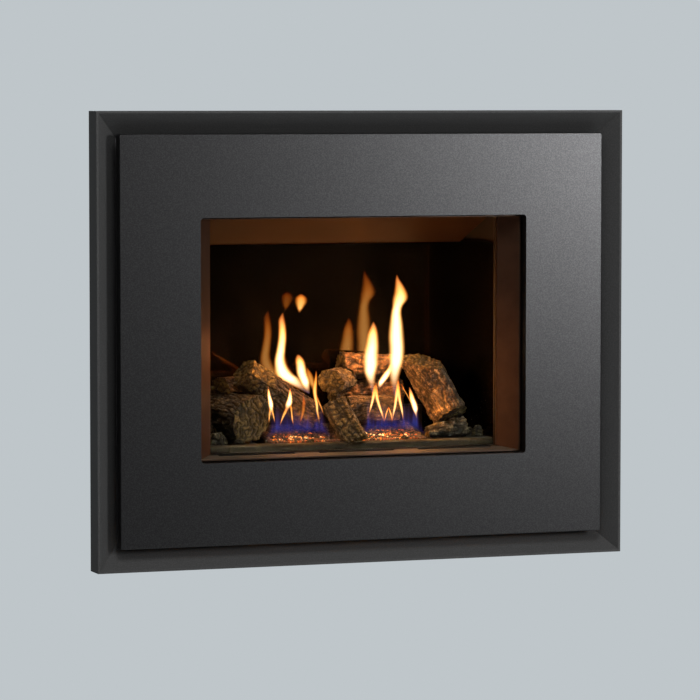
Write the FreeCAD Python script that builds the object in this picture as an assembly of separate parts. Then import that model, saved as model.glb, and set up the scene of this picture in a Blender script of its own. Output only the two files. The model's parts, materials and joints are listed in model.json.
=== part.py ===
import FreeCAD, Part
import math
import os

# Glass-fronted inset gas fire with a dished rim, a flat front panel and a log-effect burner.
# Millimetres. X to the right, Y into the wall, Z up. The wall face is y = 0 and the origin is
# the centre of the four wall fixings, level with the centre of the panel's opening.

# Front: opening, panel and dished rim
opening_width = 500.0
opening_height = 350.0
opening_corner = 5.0
panel_border_side = 120.0
panel_border_end = 119.0
panel_depth = 16.0
panel_sheet = 2.0
panel_corner = 3.0
panel_edge = 1.2
panel_proud = 1.5
rim_margin = 33.0
rim_depth = 38.0
rim_land = 3.2
rim_sheet = 2.0
rim_flange_side = 106.0
rim_flange_end = 51.0

# How far a cutter runs past what it cuts, and a boss into what it joins
cut_past = 1.0
join_depth = 1.0

# Magnets that hold the panel
magnet_radius = 10.0
magnet_thickness = 6.0
magnet_bracket_width = 24.0
magnet_bracket_sheet = 1.5
magnet_from_panel_end = 64.0
magnet_from_panel_edge = 54.0
magnet_bracket_foot = 22.0
magnet_bracket_shelf = 26.0

# Window cassette, slightly smaller than the opening so that it passes through it
window_gap = 2.0
window_sheet = 1.5
window_behind_panel = 1.5
splay_depth = 27.0
splay_side = 26.0
sill_rise = 6.0
head_drop = 0.5
window_return = 5.0
window_flange_inset = 3.0
slot_length = 116.0
slot_width = 5.5
slot_pitch = 153.5
slot_back_inset = 8.5
glass_thickness = 4.0
glass_side_overlap = 12.0
glass_end_overlap = 1.5
glass_bottom_overlap = 4.5
seal_width = 3.0
seal_thickness = 4.5
clip_height = 100.0
clip_width = 16.0
clip_sheet = 1.0
clip_gap = 1.0
clip_reach = 5.0

# Outer case
case_margin = 20.0
case_below_rim_flange = 18.0
case_depth = 205.0
case_sheet = 1.5
rim_overlap_side = 15.0
rim_overlap_end = 6.0
fixing_from_case = 13.0
fixing_spacing_z = 380.0
fixing_hole_radius = 3.5

# Firebox and its black glass lining
firebox_sheet = 1.5
roof_above_window = 17.5
floor_below_window = 23.0
liner_thickness = 4.0
liner_gap_to_window = 1.0
firebox_inner_depth = 132.0
side_liner_above_back = 4.0
baffle_sheet = 2.0
baffle_above_window = 6.5
baffle_fall = 51.0
baffle_front_gap = 3.0
baffle_lip = 9.0
baffle_side_gap = 0.5
ledge_depth = 11.0
support_width = 25.0
support_length = 30.0
support_inset = 12.0

# Flue
flue_radius = 63.5
flue_wall = 1.5
flue_above_case = 54.0
flue_flange = 16.0
flue_bead = 3.0
flue_bead_height = 4.0
flue_bead_above_case = 3.0
flue_from_front = 74.0
flue_hole_gap = 1.0

# Burner
burner_to_bed_end = 35.5
burner_front_gap = 24.0
burner_depth = 76.0
burner_height = 27.0
burner_sheet = 1.5
port_radius = 2.2
port_rows = 2
port_columns = 8
port_margin = 18.0
port_row_gap = 21.0
venturi_radius = 11.0
venturi_wall = 1.5
venturi_length = 35.0
air_hole_radius = 4.0
shutter_wall = 2.0
shutter_height = 14.0
shutter_gap = 1.0
shutter_lever_length = 14.0
shutter_lever_width = 4.0
shutter_lever_thickness = 3.0
running_gap = 0.05
injector_radius = 5.0
injector_length = 12.0
injector_bore = 0.5
injector_shoulder = 7.2
injector_tip_radius = 2.25
elbow_radius = 8.0
elbow_height = 38.0
elbow_inlet_radius = 6.4
pipe_radius = 4.0
pipe_bend = 14.0
bend_share = 0.45

# Gas valve and controls, in the space under the firebox
valve_from_case_side = 123.5
valve_width = 80.0
valve_depth = 65.0
valve_height = 46.0
valve_front = 30.0
valve_lift = 7.0
valve_edge = 5.0
valve_head_length = 19.0
spindle_radius = 4.0
spindle_length = 34.0
spindle_bore = 18.0
spindle_boss_radius = 13.0
spindle_boss_length = 10.0
knob_radius = 19.0
knob_depth = 22.0
knob_press = 4.0
knob_grip_width = 8.0
knob_face_radius = 14.25
knob_waist_radius = 15.58
knob_skirt_depth = 8.8
knob_skirt_slope = 2.0
stop_gap = 1.0
socket_end_gap = 0.4
port_boss_radius = 9.0
port_boss_length = 9.0
bracket_sheet = 1.5
bracket_edge = 4.0
bracket_headroom = 10.5
bracket_foot = 14.0
bracket_hole_gap = 0.3
igniter_from_valve = 73.0
igniter_rise = 18.0
igniter_radius = 8.0
igniter_flange = 12.0
igniter_flange_depth = 3.0
igniter_end_wall = 6.0
igniter_length = 56.0
button_radius = 6.0
button_length = 36.0
button_proud = 12.0
button_nose_radius = 4.8
button_nose_depth = 1.5
inlet_offset = 30.0
inlet_radius = 10.0
inlet_socket_radius = 4.05
inlet_socket_length = 15.0
inlet_reach = 44.0
inlet_neck_radius = 7.0
inlet_neck_rise = 3.0
tap_stem_radius = 4.0
tap_stem_length = 14.0
tap_lever_length = 36.0
tap_lever_width = 8.0
tap_lever_thickness = 3.0
tap_lever_round = 3.6
tap_lift = 0.3
pipe_entry_radius = 14.0

# Pilot group beside the burner
pilot_pocket = 27.0
pilot_spacing = 13.0
pilot_pipe_radius = 2.0
pilot_pipe_bend = 4.0
pilot_pipe_from_valve_front = 45.5
pilot_hood_radius = 5.0
pilot_hood_height = 22.0
pilot_hood_shoulder = 13.2
pilot_hood_tip_radius = 3.5
pilot_pipe_entry = 11.0
pilot_bore_gap = 0.1
pilot_bracket_height = 17.0
pilot_bracket_lift = 2.0
pilot_bracket_margin = 8.0
pilot_bracket_reach = 7.0
pilot_hole_gap = 0.2
electrode_radius = 3.0
electrode_length = 26.0
electrode_tip_radius = 0.8
electrode_tip_length = 9.0
sensor_radius = 2.2
sensor_length = 30.0
lead_hole_gap = 0.6

# Ceramic fuel bed
bed_front_gap = 0.5
bed_height = 32.0
bed_side_width = 35.5
bed_joint_gap = 0.5
bed_edge = 4.0
rear_step_depth = 29.0
rear_step_height = 42.5
rear_step_inset = 37.5
ember_front_height = 3.0
ember_back_height = 20.0
log_sides = 11
log_sections = 5
log_oval = 0.09
log_lumps = 0.06
chip_sides = 7
chip_lumps = 0.18

# Each log: which part of the bed it is measured from, the centres of its two cut ends (across from
# there, back from the bed's front, up from the bed's top), its radius at each, and a turn that varies
# its outline. A log is seated on the bed and on the logs above it in this list.
log_places = (
    ("log_left_front", "left", (76, 16, 36), (41, 102, 44), 37, 33, 0.4),
    ("log_centre_front", "centre", (11, 10, -4), (-13, 42, 54), 23, 23, 1.9),
    ("log_rear_low", "centre", (8, 110, 63), (118, 112, 61), 21, 22, 3.1),
    ("log_centre_back", "centre", (14, 66, 39), (94, 64, 39), 25, 25, 0.2),
    ("log_right", "right", (-57, 24, 29), (-92, 92, 129), 28, 28, 4.4),
    ("log_right_low", "right", (-99, 16, 9), (-38, 22, 17), 10, 18, 2.3),
    ("log_left_rear", "left", (44, 70, 68), (100, 92, 72), 27, 24, 5.2),
    ("log_left_top", "left", (70, 44, 102), (183, 60, 33), 25, 26, 0.9),
    ("log_centre_small", "centre", (-13, 53, 84), (30, 103, 86), 21, 18, 2.6),
    ("log_rear_top", "centre", (18, 100, 104), (98, 102, 102), 22, 20, 5.9),
)

# Split logs: how far the flat face, which looks to the front, is from the log's axis
split_faces = {"log_centre_front": 17.0}

# Logs sawn off aslant at the far end: how far up from the bed's top the cut crosses the log's axis,
# and by how many degrees the sawn face leans to the front
sawn_ends = {"log_right": (113.0, 15.0)}

# Each loose chip of bark: where it lies on the bed, its length, width and height, and its turn
chip_places = (
    ("left", (21, 14, 0), 34, 22, 19, 0.3),
    ("left", (17, 42, 0), 26, 22, 32, 1.4),
    ("left", (52, 7, 0), 22, 11, 9, 2.0),
    ("right", (-16, 22, 0), 20, 17, 18, 2.2),
    ("right", (-19, 54, 0), 22, 26, 12, 0.8),
    ("centre", (-60, 9, 0), 16, 11, 6, 1.1),
    ("centre", (88, 10, 0), 18, 12, 7, 2.9),
)

# Levels and places worked out from the sizes above
panel_width = opening_width + 2 * panel_border_side
panel_height = opening_height + 2 * panel_border_end
rim_width = panel_width + 2 * rim_margin
rim_height = panel_height + 2 * rim_margin
panel_front = -rim_depth - panel_proud
panel_back = panel_front + panel_depth
panel_inside = panel_front + panel_sheet
rim_seat = -case_sheet
magnet_height = panel_height / 2 - magnet_from_panel_end
case_width = opening_width + 2 * case_margin
case_top_height = rim_height / 2 - rim_flange_end - case_below_rim_flange
fixing_spacing_x = case_width + 2 * fixing_from_case
rim_flange_front = rim_seat - rim_sheet
window_front = panel_back + window_behind_panel
window_half_width = opening_width / 2 - window_gap
window_half_height = opening_height / 2 - window_gap
throat_half_width = window_half_width - splay_side
throat_bottom = -window_half_height + sill_rise
throat_top = window_half_height - head_drop
throat_front = window_front + splay_depth
firebox_roof_height = throat_top + roof_above_window
firebox_floor_depth = floor_below_window - throat_bottom
baffle_front_height = throat_top + baffle_above_window
back_liner_top = baffle_front_height - baffle_fall
side_liner_top = back_liner_top + side_liner_above_back
flue_height = case_top_height + flue_above_case
window_flange_front = throat_front + window_return
glass_front = window_flange_front + window_sheet
seal_front = glass_front + glass_thickness
frame_front = seal_front + seal_thickness
frame_back = frame_front + firebox_sheet
liner_inside = throat_half_width + liner_gap_to_window
firebox_inside = liner_inside + liner_thickness
firebox_back_inside = frame_back + firebox_inner_depth + liner_thickness
back_liner_front = firebox_back_inside - liner_thickness
floor_top = -firebox_floor_depth + firebox_sheet
support_from_centre = firebox_inside - support_inset - support_width
bed_top = floor_top + bed_height
bed_centre_half_width = liner_inside - bed_side_width
burner_half_width = bed_centre_half_width - burner_to_bed_end - pilot_pocket
bracket_height = valve_lift + valve_height / 2 + igniter_rise + igniter_flange + bracket_edge
case_base_depth = firebox_floor_depth + bracket_height + bracket_headroom + case_sheet
case_flange_side = rim_width / 2 - rim_flange_side + rim_overlap_side
case_flange_end = rim_height / 2 - rim_flange_end + rim_overlap_end
case_inside = case_width / 2 - case_sheet
base_top = -case_base_depth + case_sheet
flue_y = frame_back + flue_from_front
burner_front = frame_back + burner_front_gap
burner_back = burner_front + burner_depth
burner_top = floor_top + burner_height
port_pitch = (burner_half_width - 2 * port_margin) / (port_columns - 1)
venturi_y = (burner_front + burner_back) / 2
venturi_bottom = floor_top - venturi_length
injector_bottom = base_top + elbow_height
valve_bottom = base_top + valve_lift
valve_axis_z = valve_bottom + valve_height / 2
valve_x = valve_from_case_side - case_inside
igniter_x = valve_x + igniter_from_valve
valve_left = valve_x - valve_width / 2
valve_right = valve_x + valve_width / 2
valve_back = valve_front + valve_depth
bracket_front = valve_front - bracket_sheet
boss_front = bracket_front - spindle_boss_length
knob_back = boss_front - knob_press - stop_gap
spindle_front = boss_front + spindle_bore - knob_press - stop_gap - spindle_length
igniter_z = valve_axis_z + igniter_rise
igniter_front = bracket_front - igniter_flange_depth
bed_front = frame_back + bed_front_gap
bed_back = back_liner_front - bed_front_gap
pilot_x = -burner_half_width - pilot_pocket / 2
pilot_floor = floor_top + pilot_bracket_height


def vec(x, y, z):
    return FreeCAD.Vector(x, y, z)


def block(x0, x1, y0, y1, z0, z1):
    return Part.makeBox(x1 - x0, y1 - y0, z1 - z0, vec(x0, y0, z0))


def rod(radius, start, direction, length):
    return Part.makeCylinder(radius, length, start, direction)


def prism(points, along):
    """A flat outline of 3-D points, drawn out along a vector."""
    wire = Part.makePolygon(points + [points[0]])
    return Part.Face(wire).extrude(along)


def edges_along(shape, direction):
    return [e for e in shape.Edges if abs(e.tangentAt(e.FirstParameter).dot(direction)) > 0.9]


def rounded_block(half_x, half_z, radius, y0, y1):
    """A block centred on the Y axis whose four long edges are rounded."""
    shape = block(-half_x, half_x, y0, y1, -half_z, half_z)
    return shape.makeFillet(radius, edges_along(shape, vec(0, 1, 0)))


def folded(points, sheet):
    """Outline of a folded sheet in two coordinates: the given face and the face one sheet to its left."""
    normals = []
    for (ax, ay), (bx, by) in zip(points, points[1:]):
        length = math.hypot(bx - ax, by - ay)
        normals.append(((ay - by) / length, (bx - ax) / length))
    other = []
    for i, (x, y) in enumerate(points):
        nx, ny = normals[max(i - 1, 0)]
        mx, my = normals[min(i, len(normals) - 1)]
        stretch = sheet / (1 + nx * mx + ny * my)
        other.append((x + (nx + mx) * stretch, y + (ny + my) * stretch))
    return points + other[::-1]


def folded_along_x(points, sheet, x0, x1):
    return prism([vec(x0, y, z) for y, z in folded(points, sheet)], vec(x1 - x0, 0, 0))


def folded_along_y(points, sheet, y0, y1):
    return prism([vec(x, y0, z) for x, z in folded(points, sheet)], vec(0, y1 - y0, 0))


def folded_along_z(points, sheet, z0, z1):
    return prism([vec(x, y, z0) for x, y in folded(points, sheet)], vec(0, 0, z1 - z0))


def rectangle(half_x, low_z, high_z, y):
    corners = [vec(-half_x, y, low_z), vec(half_x, y, low_z),
               vec(half_x, y, high_z), vec(-half_x, y, high_z)]
    return Part.makePolygon(corners + [corners[0]])


def turned(points, origin, axis_along_y=False):
    """A solid of revolution from (radius, height) points about Z, or about Y where asked."""
    outline = [vec(r, 0, h) for r, h in points]
    solid = Part.Face(Part.makePolygon(outline + [outline[0]])).revolve(vec(0, 0, 0), vec(0, 0, 1), 360)
    if axis_along_y:
        solid.rotate(vec(0, 0, 0), vec(1, 0, 0), -90)
    solid.translate(origin)
    return solid


def tube_route(points, bend):
    """Straight runs joined by tangent arcs."""
    edges = []
    start = points[0]
    for before, corner, after in zip(points, points[1:], points[2:]):
        into = (corner - before).normalize()
        out = (after - corner).normalize()
        half_turn = into.getAngle(out) / 2
        setback = bend * math.tan(half_turn)
        arc_start = corner - into * setback
        arc_end = corner + out * setback
        bisector = (out - into).normalize()
        centre = corner + bisector * (bend / math.cos(half_turn))
        edges.append(Part.LineSegment(start, arc_start).toShape())
        edges.append(Part.Arc(arc_start, centre - bisector * bend, arc_end).toShape())
        start = arc_end
    edges.append(Part.LineSegment(start, points[-1]).toShape())
    return Part.Wire(edges)


def pipe(points, radius, bend):
    """A round bar along a bent route."""
    route = tube_route(points, bend)
    direction = (points[1] - points[0]).normalize()
    ring = Part.Wire(Part.Circle(points[0], direction, radius).toShape())
    return route.makePipeShell([ring], True, False)


def mirrored_pair(shape):
    return Part.Compound([shape, shape.mirror(vec(0, 0, 0), vec(1, 0, 0))])


def four_corners(shape):
    """The shape and its mirror images left, below and both."""
    pair = [shape, shape.mirror(vec(0, 0, 0), vec(1, 0, 0))]
    return Part.Compound(pair + [s.mirror(vec(0, 0, 0), vec(0, 0, 1)) for s in pair])


def drilled(shape, *cutters):
    for cutter in cutters:
        shape = shape.cut(cutter)
    return shape


# Dished rim: four folded lengths mitred at the corners

def rim_profile(flange):
    bevel_end = rim_land + rim_depth + rim_flange_front
    return [(0, 0), (0, -rim_depth), (rim_land, -rim_depth), (bevel_end, rim_flange_front),
            (flange, rim_flange_front)]


def rim_top_rail():
    half_x = rim_width / 2
    half_z = rim_height / 2
    outline = folded(rim_profile(rim_flange_end), rim_sheet)
    length = prism([vec(-half_x, y, half_z - u) for u, y in outline], vec(rim_width, 0, 0))
    inner = rim_flange_end
    mitre = [vec(-half_x, -rim_depth, half_z), vec(half_x, -rim_depth, half_z),
             vec(half_x - inner, -rim_depth, half_z - inner),
             vec(inner - half_x, -rim_depth, half_z - inner)]
    return length.common(prism(mitre, vec(0, rim_depth, 0)))


def rim_right_stile():
    half_x = rim_width / 2
    half_z = rim_height / 2
    outline = folded(rim_profile(rim_flange_side), rim_sheet)
    length = prism([vec(half_x - u, y, -half_z) for u, y in outline], vec(0, 0, rim_height))
    end = half_z - rim_flange_end
    mitre = [vec(half_x, -rim_depth, -half_z), vec(half_x, -rim_depth, half_z),
             vec(half_x - rim_flange_end, -rim_depth, end), vec(half_x - rim_flange_side, -rim_depth, end),
             vec(half_x - rim_flange_side, -rim_depth, -end), vec(half_x - rim_flange_end, -rim_depth, -end)]
    return length.common(prism(mitre, vec(0, rim_depth, 0)))


def flipped(shape):
    return shape.mirror(vec(0, 0, 0), vec(0, 0, 1))


def other_side(shape):
    return shape.mirror(vec(0, 0, 0), vec(1, 0, 0))


# Flat front panel: a shallow tray with a returned opening

def front_panel():
    half_x = panel_width / 2
    half_z = panel_height / 2
    tray = rounded_block(half_x, half_z, panel_corner, panel_front, panel_back)
    front = [e for e in tray.Edges if max(abs(v.Y - panel_front) for v in e.Vertexes) < 1e-6]
    tray = tray.makeFillet(panel_edge, front)
    hollow = block(panel_sheet - half_x, half_x - panel_sheet, panel_inside, panel_back,
                   panel_sheet - half_z, half_z - panel_sheet)
    collar = rounded_block(opening_width / 2 + panel_sheet, opening_height / 2 + panel_sheet,
                           opening_corner + panel_sheet, panel_front, panel_back)
    opening = rounded_block(opening_width / 2, opening_height / 2, opening_corner, panel_front, panel_back)
    return tray.cut(hollow.cut(collar)).cut(opening)


def magnet_brackets():
    leg = panel_width / 2 - magnet_from_panel_edge + magnet_bracket_shelf / 2
    outer = leg + magnet_bracket_foot
    top = panel_inside + magnet_thickness + magnet_bracket_sheet
    points = [(outer, rim_flange_front), (leg, rim_flange_front),
              (leg, top), (leg - magnet_bracket_shelf, top)]
    low = magnet_height - magnet_bracket_width / 2
    return four_corners(folded_along_z(points, magnet_bracket_sheet, low, low + magnet_bracket_width))


def panel_magnets():
    x = panel_width / 2 - magnet_from_panel_edge
    place = vec(x, panel_inside, magnet_height)
    return four_corners(rod(magnet_radius, place, vec(0, 1, 0), magnet_thickness))


# Window cassette: a splayed frame with a slotted sill, glass, clips and a rope seal

def window_frame():
    side_wall = window_sheet * math.hypot(splay_side, splay_depth) / splay_depth
    sill_wall = window_sheet * math.hypot(sill_rise, splay_depth) / splay_depth
    head_wall = window_sheet / 2
    outside = Part.makeLoft([
        rectangle(window_half_width, -window_half_height, window_half_height, window_front),
        rectangle(throat_half_width + side_wall, throat_bottom - sill_wall,
                  throat_top + head_wall, throat_front),
    ], True, True)
    inside = Part.makeLoft([
        rectangle(window_half_width - side_wall, sill_wall - window_half_height,
                  window_half_height - head_wall, window_front),
        rectangle(throat_half_width, throat_bottom, throat_top, throat_front),
    ], True, True)
    throat = block(-throat_half_width, throat_half_width, throat_front, glass_front,
                   throat_bottom, throat_top)
    back_half_width = window_half_width - window_flange_inset
    collar = block(-throat_half_width - window_sheet, throat_half_width + window_sheet, throat_front,
                   window_flange_front, throat_bottom - window_sheet, throat_top + head_wall)
    flange = block(-back_half_width, back_half_width, window_flange_front, glass_front,
                   -window_half_height, window_half_height)
    frame = outside.cut(inside).fuse([collar.cut(throat), flange.cut(throat)]).removeSplitter()
    slot_back = throat_front - slot_back_inset + slot_width
    for column in (-1, 0, 1):
        middle = column * slot_pitch
        slot = block(middle - slot_length / 2, middle + slot_length / 2, slot_back - slot_width, slot_back,
                     -window_half_height - cut_past, throat_bottom + cut_past)
        frame = frame.cut(slot)
    return frame


def glass_pane():
    half_x = throat_half_width + glass_side_overlap
    return block(-half_x, half_x, glass_front, seal_front, throat_bottom - glass_bottom_overlap,
                 throat_top + glass_end_overlap)


def glass_clips():
    edge = throat_half_width + glass_side_overlap
    leg = edge + clip_gap
    foot = window_half_width - window_flange_inset
    points = [(foot, glass_front), (leg, glass_front), (leg, seal_front), (edge - clip_reach, seal_front)]
    outline = folded([(x, -y) for x, y in points], clip_sheet)
    low = clip_height - clip_width / 2
    return four_corners(prism([vec(x, -y, low) for x, y in outline], vec(0, 0, clip_width)))


def glass_seal():
    outer = block(-liner_inside - seal_width, liner_inside + seal_width, seal_front, frame_front,
                  throat_bottom - seal_width, throat_top + glass_end_overlap)
    inner = block(-liner_inside, liner_inside, seal_front, frame_front, throat_bottom,
                  throat_top + glass_end_overlap - seal_width)
    return outer.cut(inner)


# Outer case: folded sheets with a front flange that the rim covers

def fixing_holes():
    return [rod(fixing_hole_radius, vec(x, -2 * case_sheet, z), vec(0, 1, 0), 3 * case_sheet)
            for x in (-fixing_spacing_x / 2, fixing_spacing_x / 2)
            for z in (-fixing_spacing_z / 2, fixing_spacing_z / 2)]


def case_right_side():
    points = [(case_flange_side, -case_sheet), (case_inside, -case_sheet), (case_inside, case_depth)]
    outline = [(x, -y) for x, y in points]
    side = prism([vec(x, -y, -case_base_depth) for x, y in folded(outline, case_sheet)],
                 vec(0, 0, case_base_depth + case_top_height))
    return drilled(side, *fixing_holes())


def case_top():
    level = case_top_height - case_sheet
    points = [(-case_sheet, case_flange_end), (-case_sheet, level), (case_depth, level)]
    plate = folded_along_x(points, case_sheet, -case_inside, case_inside)
    start = vec(0, flue_y, level - cut_past)
    return plate.cut(rod(flue_radius + flue_hole_gap, start, vec(0, 0, 1), 3 * case_sheet))


def case_base():
    points = [(case_depth, base_top), (-case_sheet, base_top), (-case_sheet, -case_flange_end)]
    return folded_along_x(points, case_sheet, -case_inside, case_inside)


def case_back():
    plate = block(-case_inside, case_inside, case_depth - case_sheet, case_depth,
                  base_top, case_top_height - case_sheet)
    entry = vec(valve_left - inlet_offset, case_depth - 2 * case_sheet, valve_axis_z)
    return plate.cut(rod(pipe_entry_radius, entry, vec(0, 1, 0), 3 * case_sheet))


# Firebox

def firebox_front_frame():
    plate = block(-case_inside, case_inside, frame_front, frame_back,
                  -firebox_floor_depth, firebox_roof_height)
    opening = block(-liner_inside, liner_inside, frame_front, frame_back, throat_bottom, throat_top)
    ledge_top = -window_half_height
    ledge = block(-liner_inside, liner_inside, frame_front - ledge_depth, frame_front,
                  ledge_top - firebox_sheet, ledge_top)
    return plate.cut(opening).fuse(ledge).removeSplitter()


def firebox_sides():
    return mirrored_pair(block(firebox_inside, firebox_inside + firebox_sheet,
                               frame_back, firebox_back_inside + firebox_sheet,
                               -firebox_floor_depth, firebox_roof_height))


def firebox_back():
    return block(-firebox_inside, firebox_inside, firebox_back_inside, firebox_back_inside + firebox_sheet,
                 floor_top, firebox_roof_height)


def firebox_floor():
    plate = block(-firebox_inside, firebox_inside, frame_back, firebox_back_inside + firebox_sheet,
                  -firebox_floor_depth, floor_top)
    down = vec(0, 0, -1)
    venturi_hole = rod(venturi_radius + lead_hole_gap, vec(0, venturi_y, floor_top + cut_past), down,
                       3 * firebox_sheet)
    leads = [rod(r + lead_hole_gap, vec(pilot_x, y, floor_top + cut_past), down, 3 * firebox_sheet)
             for r, y in zip((electrode_radius, pilot_pipe_radius, sensor_radius), pilot_places())]
    return drilled(plate, venturi_hole, *leads)


def firebox_roof():
    low = firebox_roof_height
    plate = block(-firebox_inside - firebox_sheet, firebox_inside + firebox_sheet, frame_front,
                  firebox_back_inside + firebox_sheet, low, low + firebox_sheet)
    start = vec(0, flue_y, low - cut_past)
    return plate.cut(rod(flue_radius - flue_wall, start, vec(0, 0, 1), 3 * firebox_sheet))


def firebox_supports():
    x = support_from_centre
    points = [(x + support_width, base_top), (x, base_top), (x, -firebox_floor_depth),
              (x + support_width, -firebox_floor_depth)]
    outline = folded(points[::-1], case_sheet)
    start = firebox_back_inside - support_length
    return mirrored_pair(prism([vec(x, start, z) for x, z in outline], vec(0, support_length, 0)))


def back_liner():
    return block(-firebox_inside, firebox_inside, back_liner_front, firebox_back_inside,
                 floor_top, back_liner_top)


def side_liners():
    return mirrored_pair(block(liner_inside, firebox_inside, frame_back, back_liner_front,
                               floor_top, side_liner_top))


def baffle_plate():
    front = frame_back + baffle_front_gap
    rear_height = back_liner_top + baffle_sheet
    points = [(firebox_back_inside, rear_height), (front, baffle_front_height),
              (front, baffle_front_height + baffle_lip)]
    half = liner_inside - baffle_side_gap
    return folded_along_x(points, baffle_sheet, -half, half)


def flue_spigot():
    low = firebox_roof_height + firebox_sheet
    inner = flue_radius - flue_wall
    bead_low = case_top_height + flue_bead_above_case
    bead_high = bead_low + flue_bead_height
    points = [(inner, low), (flue_radius + flue_flange, low), (flue_radius + flue_flange, low + flue_wall),
              (flue_radius, low + flue_wall), (flue_radius, bead_low), (flue_radius + flue_bead, bead_low),
              (flue_radius + flue_bead, bead_high), (flue_radius, bead_high), (flue_radius, flue_height),
              (inner, flue_height)]
    return turned(points, vec(0, flue_y, 0))


# Burner

def burner_tray():
    outside = block(-burner_half_width, burner_half_width, burner_front, burner_back, floor_top, burner_top)
    inside = block(burner_sheet - burner_half_width, burner_half_width - burner_sheet,
                   burner_front + burner_sheet, burner_back - burner_sheet,
                   floor_top + burner_sheet, burner_top)
    inlet = rod(venturi_radius - venturi_wall, vec(0, venturi_y, floor_top - cut_past), vec(0, 0, 1),
                3 * burner_sheet)
    return drilled(outside, inside, inlet)


def burner_plate():
    plate = block(-burner_half_width, burner_half_width, burner_front, burner_back,
                  burner_top, burner_top + burner_sheet)
    ports = []
    for side in (-1, 1):
        for column in range(port_columns):
            for row in range(port_rows):
                x = side * (port_margin + column * port_pitch)
                y = venturi_y + (row - (port_rows - 1) / 2) * port_row_gap
                foot = vec(x, y, burner_top - cut_past)
                ports.append(rod(port_radius, foot, vec(0, 0, 1), 3 * burner_sheet))
    return drilled(plate, *ports)


def air_hole(level):
    start = vec(-2 * venturi_radius, venturi_y, level)
    return rod(air_hole_radius, start, vec(1, 0, 0), 4 * venturi_radius)


def venturi_tube():
    tube = rod(venturi_radius, vec(0, venturi_y, venturi_bottom), vec(0, 0, 1), venturi_length)
    foot = vec(0, venturi_y, venturi_bottom)
    bore = rod(venturi_radius - venturi_wall, foot, vec(0, 0, 1), venturi_length)
    return drilled(tube, bore, air_hole(venturi_bottom + shutter_gap + shutter_height / 2))


def aeration_shutter():
    low = venturi_bottom + shutter_gap
    bore_radius = venturi_radius + running_gap
    sleeve = rod(bore_radius + shutter_wall, vec(0, venturi_y, low), vec(0, 0, 1), shutter_height)
    bore = rod(bore_radius, vec(0, venturi_y, low), vec(0, 0, 1), shutter_height)
    lever_start = bore_radius + shutter_wall / 2
    half = shutter_lever_width / 2
    lever = block(-half, half, venturi_y - lever_start - shutter_lever_length, venturi_y - lever_start,
                  low, low + shutter_lever_thickness)
    return drilled(sleeve.fuse(lever).removeSplitter(), bore, air_hole(low + shutter_height / 2))


def injector():
    tip = injector_bottom + injector_length
    shoulder = injector_bottom + injector_shoulder
    points = [(injector_bore, injector_bottom), (injector_radius, injector_bottom),
              (injector_radius, shoulder), (injector_tip_radius, tip), (injector_bore, tip)]
    return turned(points, vec(0, venturi_y, 0))


def injector_elbow():
    upright = rod(elbow_radius, vec(0, venturi_y, base_top), vec(0, 0, 1), elbow_height)
    inlet = rod(elbow_inlet_radius, vec(0, venturi_y, valve_axis_z), vec(-1, 0, 0), 2 * elbow_radius)
    return upright.fuse(inlet).removeSplitter()


def burner_pipe():
    start = vec(valve_right + port_boss_length, valve_front + valve_depth / 2, valve_axis_z)
    end = vec(-2 * elbow_radius, venturi_y, valve_axis_z)
    middle = (start.x + end.x) / 2
    return pipe([start, vec(middle, start.y, start.z), vec(middle, end.y, end.z), end], pipe_radius,
                min(pipe_bend, bend_share * abs(end.y - start.y)))


# Gas valve, knob, igniter, inlet and tap

def gas_valve():
    body = block(valve_left, valve_right, valve_front, valve_back, valve_bottom, valve_bottom + valve_height)
    body = body.makeFillet(valve_edge, edges_along(body, vec(0, 1, 0)))
    middle_y = valve_front + valve_depth / 2
    boss = rod(spindle_boss_radius, vec(valve_x, boss_front, valve_axis_z), vec(0, 1, 0),
               spindle_boss_length + bracket_sheet + join_depth)
    outlet = rod(port_boss_radius, vec(valve_right - join_depth, middle_y, valve_axis_z), vec(1, 0, 0),
                 port_boss_length + join_depth)
    inlet = rod(port_boss_radius, vec(valve_left + join_depth, middle_y, valve_axis_z), vec(-1, 0, 0),
                port_boss_length + join_depth)
    magnet_head = rod(valve_height / 3, vec(valve_x, valve_back - join_depth, valve_axis_z), vec(0, 1, 0),
                      valve_head_length + join_depth)
    casting = body.fuse([boss, outlet, inlet, magnet_head]).removeSplitter()
    mouth = vec(valve_x, boss_front, valve_axis_z)
    bore = rod(spindle_radius + running_gap, mouth, vec(0, 1, 0), spindle_bore)
    return casting.cut(bore)


def valve_spindle():
    return rod(spindle_radius, vec(valve_x, spindle_front, valve_axis_z), vec(0, 1, 0), spindle_length)


def control_knob():
    front = knob_back - knob_depth
    waist = knob_depth - knob_skirt_depth
    points = [(0, 0), (knob_face_radius, 0), (knob_waist_radius, waist),
              (knob_radius, waist + knob_skirt_slope), (knob_radius, knob_depth), (0, knob_depth)]
    knob = turned(points, vec(valve_x, front, valve_axis_z), True)
    side = block(knob_grip_width / 2, knob_radius, front, front + waist, -knob_radius, knob_radius)
    sides = [side, side.mirror(vec(0, 0, 0), vec(1, 0, 0))]
    for cutter in sides:
        cutter.translate(vec(valve_x, 0, valve_axis_z))
    socket = rod(spindle_radius + running_gap, vec(valve_x, knob_back, valve_axis_z), vec(0, -1, 0),
                 knob_back - spindle_front + socket_end_gap)
    return drilled(knob, *sides, socket)


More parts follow.
